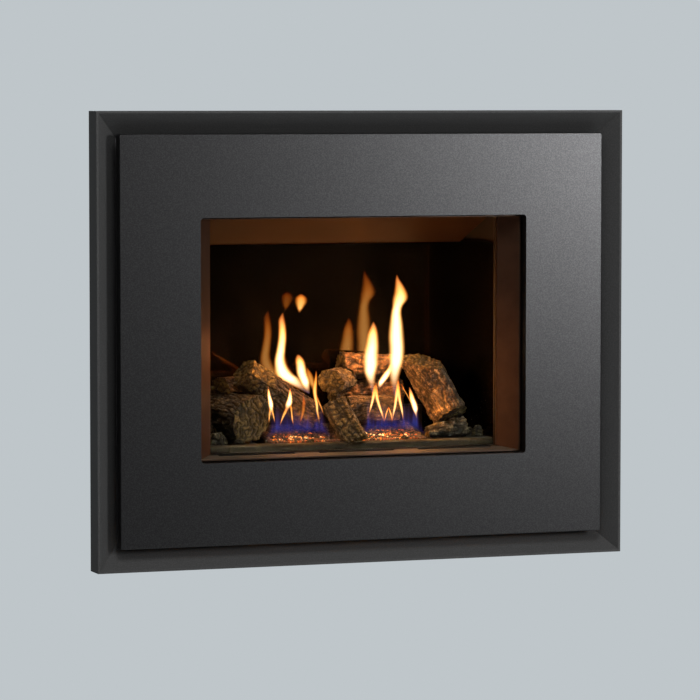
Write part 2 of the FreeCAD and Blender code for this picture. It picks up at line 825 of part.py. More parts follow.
def control_bracket():
    left = valve_left
    right = igniter_x + igniter_flange + bracket_edge
    top = base_top + bracket_height
    points = [(bracket_front, top), (bracket_front, base_top), (bracket_front + bracket_foot, base_top)]
    plate = folded_along_x(points, bracket_sheet, left, right)
    start = bracket_front - cut_past
    spindle_hole = rod(spindle_boss_radius + bracket_hole_gap, vec(valve_x, start, valve_axis_z),
                       vec(0, 1, 0), 3 * bracket_sheet)
    igniter_hole = rod(igniter_radius + bracket_hole_gap, vec(igniter_x, start, igniter_z), vec(0, 1, 0),
                       3 * bracket_sheet)
    return drilled(plate, spindle_hole, igniter_hole)


def igniter_body():
    bore = button_radius + running_gap
    bore_end = igniter_length - igniter_end_wall
    points = [(bore, 0), (igniter_flange, 0), (igniter_flange, igniter_flange_depth),
              (igniter_radius, igniter_flange_depth), (igniter_radius, igniter_length), (0, igniter_length),
              (0, bore_end), (bore, bore_end)]
    return turned(points, vec(igniter_x, igniter_front, igniter_z), True)


def igniter_button():
    points = [(0, 0), (button_nose_radius, 0), (button_radius, button_nose_depth),
              (button_radius, button_length), (0, button_length)]
    return turned(points, vec(igniter_x, igniter_front - button_proud, igniter_z), True)


def inlet_place():
    return vec(valve_left - inlet_offset, valve_front + valve_depth / 2, valve_axis_z)


def inlet_elbow():
    corner = inlet_place()
    across = rod(inlet_radius, corner, vec(1, 0, 0), inlet_offset - port_boss_length)
    along = rod(inlet_radius, corner, vec(0, 1, 0), inlet_reach)
    ball = Part.makeSphere(inlet_radius, corner)
    seat = inlet_radius + inlet_neck_rise
    neck = rod(inlet_neck_radius, corner, vec(0, 0, 1), seat)
    fitting = across.fuse([along, ball, neck]).removeSplitter()
    socket = rod(inlet_socket_radius, corner + vec(0, inlet_reach - inlet_socket_length, 0), vec(0, 1, 0),
                 inlet_socket_length)
    stem_low = corner + vec(0, 0, seat - tap_stem_length / 2)
    stem_hole = rod(tap_stem_radius + running_gap, stem_low, vec(0, 0, 1), tap_stem_length)
    return drilled(fitting, socket, stem_hole)


def isolating_tap():
    corner = inlet_place()
    lever_low = inlet_radius + inlet_neck_rise + tap_lift
    stem_low = corner + vec(0, 0, lever_low - tap_stem_length / 2)
    stem = rod(tap_stem_radius, stem_low, vec(0, 0, 1), tap_stem_length)
    half = tap_lever_width / 2
    lever = block(-half, half, -tap_lever_length, half, lever_low, lever_low + tap_lever_thickness)
    lever = lever.makeFillet(tap_lever_round, edges_along(lever, vec(0, 0, 1)))
    lever.translate(corner)
    return lever.fuse(stem).removeSplitter()


# Pilot burner, spark electrode and flame sensor on one small bracket

def pilot_places():
    return venturi_y - pilot_spacing, venturi_y, venturi_y + pilot_spacing


def pilot_bracket():
    half = pilot_spacing + pilot_bracket_margin
    points = [(-burner_half_width, floor_top + pilot_bracket_lift), (-burner_half_width, pilot_floor),
              (pilot_x - pilot_bracket_reach, pilot_floor)]
    plate = folded_along_y(points, bracket_sheet, venturi_y - half, venturi_y + half)
    radii = (electrode_radius, pilot_pipe_radius, sensor_radius)
    start = pilot_floor - 2 * bracket_sheet
    holes = [rod(r + pilot_hole_gap, vec(pilot_x, y, start), vec(0, 0, 1), 4 * bracket_sheet)
             for r, y in zip(radii, pilot_places())]
    return drilled(plate, *holes)


def pilot_burner():
    low = pilot_floor
    bore = pilot_pipe_radius + pilot_bore_gap
    points = [(bore, low), (pilot_hood_radius, low), (pilot_hood_radius, low + pilot_hood_shoulder),
              (pilot_hood_tip_radius, low + pilot_hood_height), (bore, low + pilot_hood_height)]
    return turned(points, vec(pilot_x, pilot_places()[1], 0))


def pilot_pipe():
    y = pilot_places()[1]
    start = vec(pilot_x, valve_front + pilot_pipe_from_valve_front, valve_bottom + valve_height)
    level = (start.z - firebox_floor_depth) / 2
    end = vec(pilot_x, y, pilot_floor + pilot_pipe_entry)
    points = [start, vec(pilot_x, start.y, level), vec(pilot_x, y, level), end]
    return pipe(points, pilot_pipe_radius, min(pilot_pipe_bend, bend_share * abs(y - start.y)))


def spark_electrode():
    y = pilot_places()[0]
    low = pilot_floor - electrode_length / 2
    insulator = rod(electrode_radius, vec(pilot_x, y, low), vec(0, 0, 1), electrode_length)
    top = vec(pilot_x, y, low + electrode_length)
    tip = rod(electrode_tip_radius, top, vec(0, 0, 1), electrode_tip_length)
    return insulator.fuse(tip).removeSplitter()


def thermocouple():
    y = pilot_places()[2]
    low = pilot_floor - sensor_length / 2
    return rod(sensor_radius, vec(pilot_x, y, low), vec(0, 0, 1), sensor_length)


# Ceramic fuel bed and logs

def kerb_edge(bed):
    """The edge along the top of a bed's front face."""
    def away(corner):
        return abs(corner.Z - bed_top) + abs(corner.Y - bed_front)
    return [e for e in bed.Edges if max(away(v) for v in e.Vertexes) < 1e-6]


def fuel_bed_centre():
    half = bed_centre_half_width
    bed = block(-half, half, bed_front, bed_back, floor_top, bed_top)
    bed = bed.makeFillet(bed_edge, kerb_edge(bed))
    step_half = half - rear_step_inset
    step = block(-step_half, step_half, bed_back - rear_step_depth, bed_back,
                 bed_top, bed_top + rear_step_height)
    well = block(-burner_half_width - pilot_pocket, burner_half_width + bed_joint_gap,
                 burner_front - bed_joint_gap, burner_back + bed_joint_gap, floor_top, bed_top + cut_past)
    return bed.fuse(step).removeSplitter().cut(well)


def fuel_bed_sides():
    low = bed_centre_half_width + bed_joint_gap
    side = block(low, liner_inside - bed_joint_gap, bed_front, bed_back, floor_top, bed_top)
    return mirrored_pair(side.makeFillet(bed_edge, kerb_edge(side)))


def ember_bed():
    half = burner_half_width
    low = burner_top + burner_sheet
    points = [vec(-half, burner_front, low), vec(-half, burner_back, low),
              vec(-half, burner_back, bed_top + ember_back_height),
              vec(-half, burner_front, bed_top + ember_front_height)]
    return prism(points, vec(2 * half, 0, 0))


def on_bed(side, place):
    """A point measured from the bed's left end, centre or right end, its front and its top."""
    datum = {"left": -liner_inside, "centre": 0.0, "right": liner_inside}[side]
    return vec(datum, bed_front, bed_top) + vec(*place)


def log(start, end, start_radius, end_radius, twist):
    """An irregular tapered log: ruled between uneven rings, square cut at both ends."""
    axis = end - start
    along = FreeCAD.Vector(axis).normalize()
    side = along.cross(vec(0, 0, 1)).normalize()
    up = side.cross(along)
    rings = []
    for section in range(log_sections):
        share = section / (log_sections - 1)
        centre = start + axis * share
        radius = start_radius + (end_radius - start_radius) * share
        corners = []
        for corner in range(log_sides):
            turn = 2 * math.pi * corner / log_sides
            oval = log_oval * math.sin(2 * turn + twist + share)
            lumps = log_lumps * math.sin(5 * turn + 3 * twist - 2 * share)
            out = side * math.cos(turn) + up * math.sin(turn)
            corners.append(centre + out * (radius * (1 + oval + lumps)))
        rings.append(Part.makePolygon(corners + [corners[0]]))
    return Part.makeLoft(rings, True, True)


def pared(shape, place, out):
    """The shape with all that lies beyond a plane, through a place and facing out, cut off."""
    size = 2 * shape.BoundBox.DiagonalLength
    waste = Part.makeBox(size, size, size, vec(-size / 2, -size / 2, 0))
    waste.Placement = FreeCAD.Placement(place, FreeCAD.Rotation(vec(0, 0, 1), out)).multiply(waste.Placement)
    return shape.cut(waste)


def split(shape, start, end, distance):
    """The shape with the side towards the front split off flat, a distance from its axis."""
    along = (end - start).normalize()
    front = vec(0, -1, 0)
    out = (front - along * front.dot(along)).normalize()
    return pared(shape, start + out * distance, out)


def sawn(shape, start, end, level, lean):
    """The shape with its far end sawn off, at a level above the bed and leaning to the front."""
    share = (bed_top + level - start.z) / (end.z - start.z)
    turn = math.radians(lean)
    return pared(shape, start + (end - start) * share, vec(0, -math.sin(turn), math.cos(turn)))


def seated(shape, *under):
    """The shape with seats cut where it rests on other pieces, keeping its largest solid."""
    for piece in under:
        shape = shape.cut(piece)
    return max(shape.Solids, key=lambda s: s.Volume)


def log_set():
    below_bed = block(-liner_inside, liner_inside, frame_front, firebox_back_inside, floor_top, bed_top)
    beds = [below_bed, fuel_bed_centre(), ember_bed(), back_liner(), *side_liners().Solids]
    logs = {}
    for name, side, start, end, *outline in log_places:
        near = on_bed(side, start)
        far = on_bed(side, end)
        shape = log(near, far, *outline)
        if name in split_faces:
            shape = split(shape, near, far, split_faces[name])
        if name in sawn_ends:
            shape = sawn(shape, near, far, *sawn_ends[name])
        logs[name] = seated(shape, *beds, *logs.values())
    return logs


def bark_piece(centre, length, width, height, turn):
    """A small curved chip: a lens-shaped outline drawn to a smaller top."""
    outlines = []
    for share, level in ((1.0, 0.0), (0.86, height * 0.55), (0.45, height)):
        corners = []
        for step in range(chip_sides):
            angle = 2 * math.pi * step / chip_sides + turn
            uneven = 1 + chip_lumps * math.sin(3 * angle + 2 * turn)
            corners.append(centre + vec(share * uneven * length / 2 * math.cos(angle),
                                        share * uneven * width / 2 * math.sin(angle), level))
        outlines.append(Part.makePolygon(corners + [corners[0]]))
    return Part.makeLoft(outlines, True, True)


def loose_bark(logs):
    chips = [bark_piece(on_bed(side, place), *shape) for side, place, *shape in chip_places]
    return Part.Compound([seated(chip, *logs.values()) for chip in chips])


def pieces():
    top_rail = rim_top_rail()
    right_stile = rim_right_stile()
    right_side = case_right_side()
    logs = log_set()
    made = {
        "rim_top_rail": top_rail,
        "rim_bottom_rail": flipped(top_rail),
        "rim_right_stile": right_stile,
        "rim_left_stile": other_side(right_stile),
        "case_right_side": right_side,
        "case_left_side": other_side(right_side),
        "loose_bark": loose_bark(logs),
        **logs,
    }
    for make in (
        front_panel, magnet_brackets, panel_magnets, window_frame, glass_pane, glass_clips, glass_seal,
        case_top, case_base, case_back, firebox_front_frame, firebox_sides, firebox_back, firebox_floor,
        firebox_roof, firebox_supports, back_liner, side_liners, baffle_plate, flue_spigot,
        burner_tray, burner_plate, venturi_tube, aeration_shutter, injector, injector_elbow, burner_pipe,
        gas_valve, valve_spindle, control_knob, control_bracket, igniter_body, igniter_button, inlet_elbow,
        isolating_tap, pilot_bracket, pilot_burner, pilot_pipe, spark_electrode, thermocouple,
        fuel_bed_centre, fuel_bed_sides, ember_bed,
    ):
        made[make.__name__] = make()
    return made


os.makedirs("parts", exist_ok=True)
for name, shape in pieces().items():
    shape.exportStep(f"parts/{name}.step")
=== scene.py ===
import json
import math
import random

import bmesh
import bpy
import numpy as np
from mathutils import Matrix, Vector, noise


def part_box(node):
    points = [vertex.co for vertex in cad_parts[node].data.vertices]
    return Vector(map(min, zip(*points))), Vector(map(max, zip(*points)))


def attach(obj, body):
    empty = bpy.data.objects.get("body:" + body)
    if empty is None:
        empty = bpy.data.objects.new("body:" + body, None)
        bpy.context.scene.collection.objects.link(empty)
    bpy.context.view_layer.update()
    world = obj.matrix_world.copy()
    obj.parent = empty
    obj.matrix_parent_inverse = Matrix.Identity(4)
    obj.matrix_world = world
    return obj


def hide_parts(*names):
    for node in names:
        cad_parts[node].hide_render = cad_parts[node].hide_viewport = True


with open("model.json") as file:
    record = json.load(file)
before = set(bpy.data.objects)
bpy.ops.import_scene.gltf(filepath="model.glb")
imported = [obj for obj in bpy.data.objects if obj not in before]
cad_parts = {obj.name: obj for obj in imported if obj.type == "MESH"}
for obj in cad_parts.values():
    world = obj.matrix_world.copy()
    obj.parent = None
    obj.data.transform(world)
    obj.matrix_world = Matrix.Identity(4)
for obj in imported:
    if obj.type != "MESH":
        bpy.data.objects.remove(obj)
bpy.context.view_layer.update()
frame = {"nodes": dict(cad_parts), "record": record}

# Everything below is in metres in the part's own frame: X right, Y into the wall, Z up
MM = 0.001

# Camera, fitted to the photograph's 700 by 700 frame
camera_place = (-1.9385, -5.2979, 0.3521)
camera_turn = 20.0
camera_dip = 3.78
camera_lens = 200.0
camera_sensor = 36.0
camera_reach = 50.0

# Studio: its tones, its floor, the strength of the light all round and of what shiny faces mirror
backdrop_colour = "bfc6ca"
dim_studio_colour = "181919"
floor_colour = "c9cdcf"
floor_pale_colour = "ced2d4"
floor_level = -1.3
floor_half = 3.0
floor_mottle = 0.4
floor_lift = 0.3
light_all_round = 0.16
mirrored_strength = 0.4

# Softboxes: place, watts, the point each is aimed at, and its width
softboxes = {
    "upper_right": ((1.8, -2.5, 0.49), 46, (0.2, 0, 0.1), 0.7),
    "above": ((-0.4, -2.3, 2.3), 42, (0, 0, 0), 1.2),
    "left": ((-2.4, -3.0, 1.4), 8, (0, 0, 0), 1.4),
    "left_side": ((-2.4, 0.6, 0.5), 2.5, (-0.2, 0.1, 0), 0.8),
    "rear": ((0.8, 2.6, 1.8), 28, (0, 0.1, 0), 1.8),
    "right_side": ((2.6, 1.3, 1.0), 30, (0.2, 0.1, 0), 1.4),
}

# The fire's own light: places in millimetres, and watts
# The places less than 10 deep are in front of the glass, and light the window frame and its sill
fire_colour = "ffab5c"
fire_light_size = 0.02
fire_lights = [
    ((-95, 76, 2), 0.85),
    ((58, 72, -15), 2.1),
    ((-70, 46, -125), 0.22),
    ((66, 46, -125), 0.22),
    ((-132, 34, -40), 0.32),
    ((-40, 58, -60), 0.12),
    ((138, 26, -106), 0.45),
    ((4, 18, -100), 0.1),
    ((-80, 2, -122), 0.6),
    ((80, 2, -122), 0.7),
    ((-195, 2, -20), 0.4),
    ((90, 4, -40), 0.7),
    ((-188, 30, -58), 0.045),
]

# Sill of the window frame: how far back its slots start to be cut, where their painted shade begins, and
# its highest level
slot_shade_back = 1.8 * MM
sill_top = -166 * MM

# Pan-head screws along the case's rear edges
# The profile is (radius, height) from the rim of the head to the bottom of its socket
screw_profile = [(3.7 * MM, 0.0), (3.7 * MM, 0.5 * MM), (3.1 * MM, 1.4 * MM), (2.0 * MM, 2.0 * MM),
                 (1.3 * MM, 2.1 * MM), (1.2 * MM, 0.9 * MM)]
screw_inset = 9 * MM
screw_sides = 18
screw_shares = (-0.75, -0.25, 0.25, 0.75)

# Printed line on the knob's grip: half its width, its thickness, and its reach from the knob's middle
mark_half = 0.8 * MM
mark_thickness = 0.2 * MM
mark_start = 4 * MM
mark_end = 12.5 * MM

# Bark relief on the ceramic logs
bark_voxel = 1.3 * MM
bark_ridge = 5.5 * MM
bark_plate_length = 17.0 * MM
bark_depth = 3.6 * MM
bark_lump = 12 * MM
fibre_spacing = 7.5 * MM
pith_radius = 8 * MM
stripped_length = 48 * MM
stripped_edge = 6 * MM
split_edge = 7 * MM

# How wide each kind of crack is, as the band of noise about zero that it takes up
plate_crack = 0.3
cross_crack = 0.12
fibre_crack = 0.27
drying_crack = 0.1

# Logs with a split front, a sawn top or a stripped end, and how mossy a log's bark is
split_logs = ("log_centre_front",)
sawn_logs = ("log_right",)
stripped_logs = ("log_left_top",)
mossy_logs = {
    "log_left_front": 0.7,
    "log_centre_front": 0.8,
    "log_right_low": 1.0,
    "loose_bark": 1.0,
    "log_left_top": 0.3,
    "log_centre_small": 0.7,
    "log_centre_back": 0.5,
    "log_right": 0.45,
}

# Ember granules, and the two patches of the bed that the flames heat most
granule_size = 4.4 * MM
granule_count = 1700
granule_seed = 4
granule_lump = 2.5 * MM
granule_heats = (0.1, 0.3, 0.5, 0.7, 0.9, 1.5)
spill = 12.0 * MM
front_rise = 3 * MM
hot_patches = ((-70 * MM, 46 * MM), (66 * MM, 48 * MM))
hot_half_width = 46 * MM
hot_half_depth = 30 * MM
hot_mottle = 9 * MM

# Skin of a yellow flame: half its width as a share of its line's, its flatness, and its mesh
flame_half_width = 0.61
flame_flatness = 0.3
flame_thinnest = 0.3 * MM
flame_sides = 20
flame_steps = 6

# Blue curtains of gas, in millimetres: where they stand, how they lick and sway, and their mesh
blue_spans = {"left": (-120, -22), "right": (26, 126)}
blue_depths = (50, 57)
blue_foot = -151
blue_height = 42
blue_lick = 24
blue_tongue = 9
blue_ripple = 3.5
blue_sway = 12
blue_density = 0.8
blue_columns = 60
blue_levels = 14


def linear(colour):
    """sRGB hex text to a linear colour with full opacity."""
    shares = [int(colour[i:i + 2], 16) / 255 for i in (0, 2, 4)]
    return [c / 12.92 if c <= 0.04045 else ((c + 0.055) / 1.055) ** 2.4 for c in shares] + [1.0]


def add(tree, kind, inputs=None, **settings):
    """Adds a shader node: settings are its properties, inputs are values or other nodes' outputs."""
    made = tree.nodes.new("ShaderNode" + kind)
    for name, value in settings.items():
        setattr(made, name, value)
    for socket, value in (inputs or {}).items():
        if isinstance(value, bpy.types.NodeSocket):
            tree.links.new(value, made.inputs[socket])
        else:
            made.inputs[socket].default_value = value
    return made


def ramp(tree, share, stops):
    """A colour ramp through (place, hex) stops."""
    made = add(tree, "ValToRGB", {"Fac": share})
    elements = made.color_ramp.elements
    while len(elements) < len(stops):
        elements.new(0.5)
    for element, (place, colour) in zip(elements, stops):
        element.position = place
        element.color = linear(colour)
    return made.outputs["Color"]


def tint(tree, shader, share, stops):
    """Colours a shader's surface by a ramp."""
    colour = ramp(tree, share, stops)
    tree.links.new(colour, shader.inputs["Base Color"])
    return colour


def new_material(name, **values):
    """A material with a plain shader whose sockets take the given values."""
    made = bpy.data.materials.new(name)
    made.use_nodes = True
    tree = made.node_tree
    shader = tree.nodes["Principled BSDF"]
    for socket, value in values.items():
        shader.inputs[socket.replace("_", " ")].default_value = value
    return made, tree, shader


def object_place(tree):
    return add(tree, "TexCoord").outputs["Object"]


def grain(tree, size, detail=3.0, place=None):
    """Noise whose features are about the given size."""
    place = place or object_place(tree)
    return add(tree, "TexNoise", {"Vector": place, "Scale": 1 / size, "Detail": detail})


def bump(tree, shader, height, depth, strength=0.5):
    made = add(tree, "Bump", {"Height": height, "Distance": depth, "Strength": strength})
    tree.links.new(made.outputs["Normal"], shader.inputs["Normal"])


# Materials of the front

def graphite_powder_coat(name, tones, **surface):
    # Stoved metallic powder over steel: a dark satin film full of fine bright flakes, with faint
    # orange peel. The flakes are drawn coarser than they are so that they show.
    made, tree, shader = new_material(name, **surface)
    flakes = grain(tree, 1.7 * MM, 1.0)
    tint(tree, shader, flakes.outputs["Fac"], list(zip((0.36, 0.52, 0.68), tones)))
    bump(tree, shader, grain(tree, 1.4 * MM, 1.0).outputs["Fac"], 0.04 * MM, 0.3)
    return made


def stove_paint_with_painted_firelight(name, tones):
    """Stove paint drawn brown as painted firelight, as a material, its nodes, its shader and its colour."""
    # Heat-proof paint sprayed on folded steel: a dark film with a soft metallic sheen that takes the fire's
    # colour.
    # Its brown tone is painted firelight.
    made, tree, shader = new_material(name, Metallic=0.6, Roughness=0.32)
    clouds = grain(tree, 35 * MM, 4.0)
    colour = tint(tree, shader, clouds.outputs["Fac"], list(zip((0.3, 0.7), tones)))
    bump(tree, shader, grain(tree, 1.5 * MM).outputs["Fac"], 0.05 * MM, 0.3)
    return made, tree, shader, colour


def slotted_window_paint():
    # Painted shade: faces behind the start of the sill's slots and below its top are drawn black, so the
    # slots look dark between the painted lands. Painted light: faces that point up are drawn paler and
    # greyer, so the sill is paler and greyer than the sides.
    made, tree, shader, colour = stove_paint_with_painted_firelight(
        "stove_paint_with_painted_firelight_on_slotted_steel", ("402f24", "4e3a2d"))
    place = add(tree, "SeparateXYZ", {"Vector": object_place(tree)})
    # Painted shade: a mask of the faces behind the slots' start and below the sill's top
    behind = add(tree, "Math", {0: place.outputs["Y"], 1: slot_shade_back}, operation="GREATER_THAN")
    low = add(tree, "Math", {0: place.outputs["Z"], 1: sill_top}, operation="LESS_THAN")
    cut = add(tree, "Math", {0: behind.outputs[0], 1: low.outputs[0]}, operation="MULTIPLY")
    # Painted light: faces that point up are drawn in a paler grey, as if lit from above
    facing = add(tree, "SeparateXYZ", {"Vector": add(tree, "NewGeometry").outputs["Normal"]})
    upward = add(tree, "Math", {0: facing.outputs["Z"], 1: 0.5}, operation="GREATER_THAN")
    painted_top_light = ramp(tree, grain(tree, 35 * MM, 4.0).outputs["Fac"], [(0.3, "56544c"), (0.7, "69675d")])
    top_lit = add(tree, "MixRGB", {"Fac": upward.outputs[0], "Color1": colour, "Color2": painted_top_light})
    # Painted shade: the black drawn in the sill's slots
    slot_shade_black = linear("040404")
    toned = add(tree, "MixRGB", {"Fac": cut.outputs[0], "Color1": top_lit.outputs["Color"], "Color2": slot_shade_black})
    tree.links.new(toned.outputs["Color"], shader.inputs["Base Color"])
    return made


def clear_ceramic_glass():
    # Drawn glass-ceramic with a low-reflection face: it hardly shows, apart from a faint warm tint.
    made, tree, shader = new_material("clear_ceramic_glass", Transmission_Weight=1.0, IOR=1.1)
    shader.inputs["Base Color"].default_value = linear("fdfbf6")
    film = grain(tree, 60 * MM, 4.0)
    haze = add(tree, "MapRange", {"Value": film.outputs["Fac"], "To Min": 0.0, "To Max": 0.02})
    tree.links.new(haze.outputs["Result"], shader.inputs["Roughness"])
    return made


def black_glass():
    # Polished back-enamelled glass: mirror-like over black, with a faint bloom of heat and dust.
    made, tree, shader = new_material("black_glass", IOR=2.2)
    shader.inputs["Specular Tint"].default_value = linear("ffc27c")
    bloom = grain(tree, 70 * MM, 5.0)
    tint(tree, shader, bloom.outputs["Fac"], [(0.4, "030303"), (0.8, "0a0908")])
    haze = add(tree, "MapRange", {"Value": bloom.outputs["Fac"], "To Min": 0.03, "To Max": 0.10})
    tree.links.new(haze.outputs["Result"], shader.inputs["Roughness"])
    return made


def woven_rope():
    # Glass-fibre yarn plaited into rope: dark matt strands side by side.
    made, tree, shader = new_material("woven_rope", Roughness=0.9)
    place = object_place(tree)
    strands = add(tree, "TexWave", {"Vector": place, "Scale": 1 / (14 * MM), "Distortion": 1.5})
    tint(tree, shader, strands.outputs["Fac"], [(0.2, "141414"), (0.8, "2e2d2b")])
    bump(tree, shader, strands.outputs["Fac"], 0.6 * MM, 0.7)
    return made


# Materials of the working parts

def sheet_metal(name, dark, light, spangle, roughness):
    """Coated sheet steel: flat crystals of the coating, some paler, some darker, over a rolled surface."""
    made, tree, shader = new_material(name, Metallic=0.3)
    crystals = add(tree, "TexVoronoi", {"Vector": object_place(tree), "Scale": 1 / spangle})
    tint(tree, shader, crystals.outputs["Color"], [(0.2, dark), (0.8, light)])
    rolled = grain(tree, 8 * MM, 4.0).outputs["Fac"]
    gloss = add(tree, "MapRange", {"Value": rolled, "To Min": roughness - 0.08, "To Max": roughness + 0.1})
    tree.links.new(gloss.outputs["Result"], shader.inputs["Roughness"])
    return made


def machined_metal(name, dark, light, roughness):
    """Turned or drawn metal with fine tool marks."""
    made, tree, shader = new_material(name, Metallic=1.0, Roughness=roughness)
    marks = grain(tree, 1.2 * MM, 2.0)
    tint(tree, shader, marks.outputs["Fac"], [(0.3, dark), (0.7, light)])
    bump(tree, shader, marks.outputs["Fac"], 0.05 * MM, 0.3)
    return made


def moulded_or_painted(name, dark, light, texture, roughness):
    """A matt or satin coloured surface with a fine even texture."""
    made, tree, shader = new_material(name, Roughness=roughness)
    spots = grain(tree, texture, 3.0)
    tint(tree, shader, spots.outputs["Fac"], [(0.3, dark), (0.7, light)])
    bump(tree, shader, spots.outputs["Fac"], 0.06 * MM, 0.3)
    return made


def charred_ceramic_fibre():
    # Vacuum-formed fibre board painted as ash: an olive-grey kerb that turns black further back, and rough.
    made, tree, shader = new_material("charred_ceramic_fibre", Roughness=0.95)
    place = object_place(tree)
    drifts = grain(tree, 14 * MM, 6.0, place)
    ash = ramp(tree, drifts.outputs["Fac"], [(0.3, "26231a"), (0.6, "3d3827"), (0.8, "534c37")])
    depth = add(tree, "SeparateXYZ", {"Vector": place}).outputs["Y"]
    darkened = add(tree, "MapRange", {"Value": depth, "From Min": 40 * MM, "From Max": 60 * MM})
    near_black = linear("0b0a09")
    toned = add(tree, "MixRGB", {"Fac": darkened.outputs["Result"], "Color1": ash, "Color2": near_black})
    tree.links.new(toned.outputs["Color"], shader.inputs["Base Color"])
    bump(tree, shader, grain(tree, 4 * MM, 6.0, place).outputs["Fac"], 1.2 * MM, 0.7)
    return made


def painted_bark():
    # Cast ceramic fibre painted by hand as oak: red-brown or mossy bark plates, black cracks, and olive
    # cut faces. The cracks' black is also drawn as painted shade where the bark faces down or back.
    made, tree, shader = new_material("painted_bark", Roughness=0.88)
    place = object_place(tree)
    crack = add(tree, "Attribute", attribute_name="crack").outputs["Fac"]
    cut = add(tree, "Attribute", attribute_name="cut").outputs["Fac"]
    moss = add(tree, "Attribute", attribute_name="moss").outputs["Fac"]
    patches = grain(tree, 9 * MM, 5.0, place).outputs["Fac"]
    brown = ramp(tree, patches, [(0.3, "3a2716"), (0.5, "64472c"), (0.7, "8f6e46")])
    mossy = ramp(tree, patches, [(0.3, "23211a"), (0.5, "45412e"), (0.7, "77735c")])
    bark = add(tree, "MixRGB", {"Fac": moss, "Color1": brown, "Color2": mossy}).outputs["Color"]
    wood = ramp(tree, patches, [(0.3, "3a3018"), (0.5, "5e5026"), (0.7, "7e6e3c")])
    faces = add(tree, "MixRGB", {"Fac": cut, "Color1": bark, "Color2": wood}).outputs["Color"]
    fine = ramp(tree, grain(tree, 2.5 * MM, 3.0, place).outputs["Fac"], [(0.3, "7a7a7a"), (0.7, "ffffff")])
    toned = add(tree, "MixRGB", {"Fac": 1.0, "Color1": faces, "Color2": fine}, blend_type="MULTIPLY")
    # The cracks' black, which is also painted shade on bark that faces down or back
    near_black = linear("0a0705")
    cracked = add(tree, "MixRGB", {"Fac": crack, "Color1": toned.outputs["Color"], "Color2": near_black})
    tree.links.new(cracked.outputs["Color"], shader.inputs["Base Color"])
    bump(tree, shader, grain(tree, 2.0 * MM, 4.0, place).outputs["Fac"], 0.8 * MM, 0.6)
    return made


def glowing_ember():
    # Crushed mineral granules over the burner: grey where cool, orange-red to nearly white where the
    # flame heats them.
    made, tree, shader = new_material("glowing_ember", Roughness=0.9, Emission_Strength=1.4)
    heat = add(tree, "Attribute", attribute_name="glow").outputs["Fac"]
    speckle = grain(tree, 3 * MM, 3.0)
    tint(tree, shader, speckle.outputs["Fac"], [(0.3, "2e2622"), (0.7, "584a42")])
    light = ramp(tree, heat, [(0.0, "000000"), (0.25, "300c05"), (0.5, "90380e"), (0.75, "e0801f"),
                              (1.0, "ffe0a0")])
    tree.links.new(light, shader.inputs["Emission Color"])
    return made


def burning_gas(name, strength, along, across, thin, fade_along, fade_across):
    """A sheet of burning gas that only gives light."""
    # Its colour and cover change along its rise, from its edge to its core, and with how thin it is.
    made, tree, shader = new_material(name, Roughness=1.0, Specular_IOR_Level=0.0,
                                      Emission_Strength=strength)
    shader.inputs["Base Color"].default_value = linear("000000")
    rise = add(tree, "Attribute", attribute_name="rise").outputs["Fac"]
    core = add(tree, "Attribute", attribute_name="core").outputs["Fac"]
    density = add(tree, "Attribute", attribute_name="cover").outputs["Fac"]
    colour = ramp(tree, rise, along)
    for other in (ramp(tree, core, across), ramp(tree, density, thin)):
        both = {"Fac": 1.0, "Color1": colour, "Color2": other}
        colour = add(tree, "MixRGB", both, blend_type="MULTIPLY").outputs["Color"]
    tree.links.new(colour, shader.inputs["Emission Color"])
    cover = ramp(tree, rise, fade_along)
    for other in (ramp(tree, core, fade_across), density):
        cover = add(tree, "Math", {0: cover, 1: other}, operation="MULTIPLY").outputs[0]
    tree.links.new(cover, shader.inputs["Alpha"])
    return made


finishes = {
    "graphite_coat": graphite_powder_coat("graphite_powder_coat", ("3c3c3d", "424243", "4a4a4b"),
                                          Metallic=1.0, Roughness=0.36),
    # Its brown tones are painted firelight on a dark paint
    "dark_satin": stove_paint_with_painted_firelight("stove_paint_with_painted_firelight", ("392b20", "433226"))[0],
    "clear_glass": clear_ceramic_glass(),
    "black_glass": black_glass(),
    "rope_seal": woven_rope(),
    "zinc_steel": sheet_metal("hot_dip_zinc_sheet", "92979a", "b0b5b8", 9 * MM, 0.4),
    "firebox_steel": moulded_or_painted("matt_stove_paint", "161514", "22201e", 2.5 * MM, 0.7),
    "aluminised_steel": sheet_metal("aluminised_sheet", "9a9a98", "bdbcb9", 5 * MM, 0.35),
    "brass": machined_metal("turned_brass", "a98243", "cfa865", 0.3),
    "bare_pipe": machined_metal("drawn_aluminium", "a5a7a8", "c6c8c9", 0.32),
    "valve_casting": machined_metal("die_cast_aluminium", "8d8f90", "aeb0b1", 0.45),
    "bright_steel": machined_metal("turned_steel", "8e9092", "bcbec0", 0.22),
    "black_plastic": moulded_or_painted("moulded_nylon", "121212", "1e1e1e", 1.2 * MM, 0.55),
    "button_plastic": moulded_or_painted("moulded_red_nylon", "7a1712", "8f1f18", 1.5 * MM, 0.3),
    "white_ceramic": moulded_or_painted("glazed_alumina", "ddd8cd", "efeae0", 3 * MM, 0.18),
    "fibre_bed": charred_ceramic_fibre(),
    "fibre_log": painted_bark(),
}
# The rim is coated in a flatter powder than the panel, so it stays even in tone all round
rim_finish = graphite_powder_coat("flat_graphite_powder_coat", ("3b3b3b", "414141", "474747"),
                                  Metallic=0.1, Roughness=0.6, Specular_IOR_Level=0.25)
window_finish = slotted_window_paint()
ember_finish = glowing_ember()
# Ink pressed on nylon: a flat white with a faint speckle
ink_finish = moulded_or_painted("pad_printed_white_ink", "dcdcd8", "eeeeea", 0.8 * MM, 0.5)
